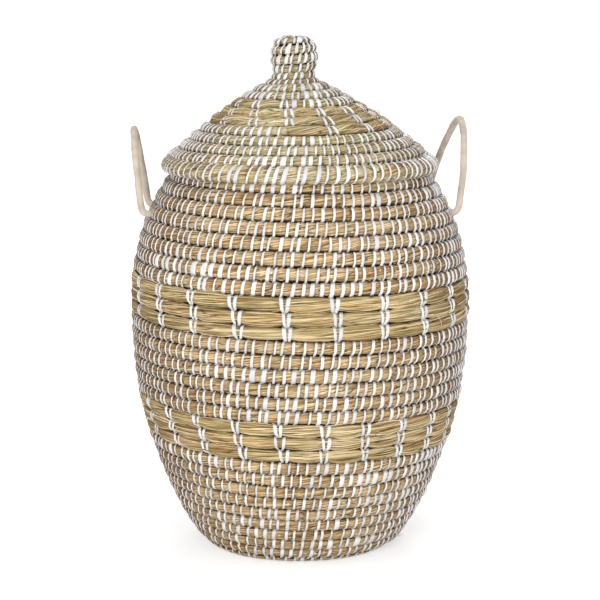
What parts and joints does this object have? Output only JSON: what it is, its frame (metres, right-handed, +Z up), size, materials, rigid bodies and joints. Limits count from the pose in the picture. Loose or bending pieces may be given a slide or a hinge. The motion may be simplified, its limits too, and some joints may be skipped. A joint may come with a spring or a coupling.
{
  "type": "laundry hamper",
  "caption": "Round-bellied coiled straw laundry hamper with a conical lift-off lid, a coiled knob and two rope handles.",
  "frame": {"origin": "on the floor under the middle of the basket", "axes": "+Z up through the knob, -Y the front of the hamper, the rope handles on the left (-X) and the right (+X)"},
  "size_m": [0.4002, 0.4, 0.5995],
  "materials": {
    "straw": "dry straw in a coiled bundle, golden tan, bound with white strips",
    "band_straw": "dry straw in looser, greener rows with white crossed stitches",
    "rope": "off-white braided cotton rope"
  },
  "bodies": {
    "basket": {"base_coil": "straw", "lower_wall_coil": "straw", "lower_band": "band_straw", "middle_wall_coil": "straw", "upper_band": "band_straw", "upper_wall_coil": "straw", "rim_coil": "straw", "rope_end_left_front": "rope", "rope_end_left_back": "rope", "rope_end_right_front": "rope", "rope_end_right_back": "rope"},
    "lid": {"lid_edge_coil": "straw", "lid_outer_coil": "straw", "lid_band": "band_straw", "lid_inner_coil": "straw", "knob_coil": "band_straw", "lid_locating_coil": "straw"},
    "handle_left": {"handle_left": "rope"},
    "handle_right": {"handle_right": "rope"}
  },
  "joints": [
    {"name": "lid_lift", "type": "slide", "parent": "basket", "child": "lid", "axis": [0, 0, 1], "range_m": [0, 0.16]},
    {"name": "handle_left_swing", "type": "hinge", "parent": "basket", "child": "handle_left", "pos_m": [-0.17183, 0, 0.39614], "axis": [0, -1, 0], "range_deg": [-15, 140]},
    {"name": "handle_right_swing", "type": "hinge", "parent": "basket", "child": "handle_right", "pos_m": [0.16922, 0.02984, 0.39614], "axis": [-0.1736, 0.9848, 0], "range_deg": [-15, 140]}
  ]
}
